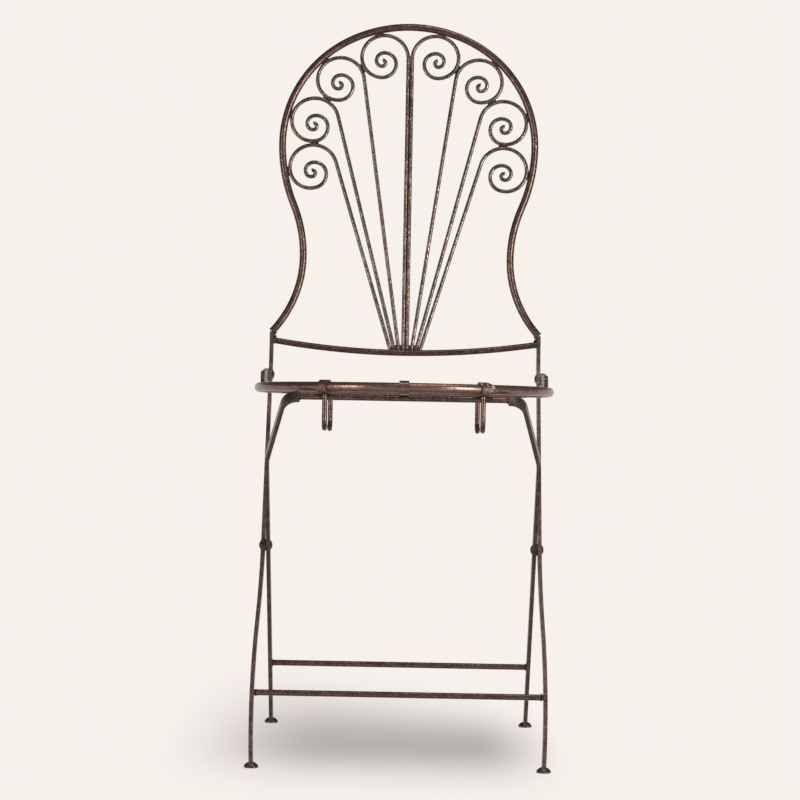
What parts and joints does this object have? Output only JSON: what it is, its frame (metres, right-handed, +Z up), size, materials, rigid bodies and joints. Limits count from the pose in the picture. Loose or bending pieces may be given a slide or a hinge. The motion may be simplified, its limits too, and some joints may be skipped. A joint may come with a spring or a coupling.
{
  "type": "folding chair",
  "caption": "Wrought iron folding chair with a round strap seat on scissor legs and a fan of scrolls inside a tall hoop back.",
  "frame": {"origin": "on the floor, under the middle of the chair's outer box", "axes": "+X to the right as seen from the front, +Y from the front of the seat to the back, +Z up"},
  "size_m": [0.3799, 0.447, 0.9356],
  "materials": {
    "bronzed_iron": "satin",
    "rivet_iron": "satin",
    "foot_iron": "satin"
  },
  "bodies": {
    "back_frame": {"back_hoop": "bronzed_iron", "back_leg_bar_left": "bronzed_iron", "back_leg_bar_right": "bronzed_iron", "back_rail": "bronzed_iron", "front_foot_left": "foot_iron", "front_foot_right": "foot_iron", "front_stretcher": "bronzed_iron", "scissor_rivet_left": "rivet_iron", "scissor_rivet_right": "rivet_iron", "scissor_washer_left": "rivet_iron", "scissor_washer_right": "rivet_iron", "scroll_inner_left": "bronzed_iron", "scroll_inner_right": "bronzed_iron", "scroll_lower_left": "bronzed_iron", "scroll_lower_right": "bronzed_iron", "scroll_side_left": "bronzed_iron", "scroll_side_right": "bronzed_iron", "scroll_upper_left": "bronzed_iron", "scroll_upper_right": "bronzed_iron", "seat_rivet_left": "rivet_iron", "seat_rivet_right": "rivet_iron"},
    "leg_frame": {"leg_bar_left": "bronzed_iron", "leg_bar_right": "bronzed_iron", "rear_foot_left": "foot_iron", "rear_foot_right": "foot_iron", "rear_stretcher": "bronzed_iron", "seat_crossbar": "bronzed_iron"},
    "seat": {"cross_strap_front": "bronzed_iron", "cross_strap_middle": "bronzed_iron", "cross_strap_rear": "bronzed_iron", "front_hook_left": "bronzed_iron", "front_hook_right": "bronzed_iron", "rear_hook_left": "bronzed_iron", "rear_hook_right": "bronzed_iron", "seat_lug_left": "bronzed_iron", "seat_lug_right": "bronzed_iron", "seat_ring": "bronzed_iron", "strap_centre": "bronzed_iron", "strap_left": "bronzed_iron", "strap_right": "bronzed_iron"}
  },
  "joints": [
    {"name": "leg_fold", "type": "hinge", "parent": "back_frame", "child": "leg_frame", "pos_m": [0, -0.0313, 0.256], "axis": [-1, 0, 0], "range_deg": [0, 63.5]},
    {"name": "seat_fold", "type": "hinge", "parent": "back_frame", "child": "seat", "pos_m": [0, 0.1164, 0.467], "axis": [-1, 0, 0], "range_deg": [0, 97.2]}
  ],
  "couplings": [
    {"joint": "seat_fold", "follows": "leg_fold", "ratio": 1.53}
  ]
}
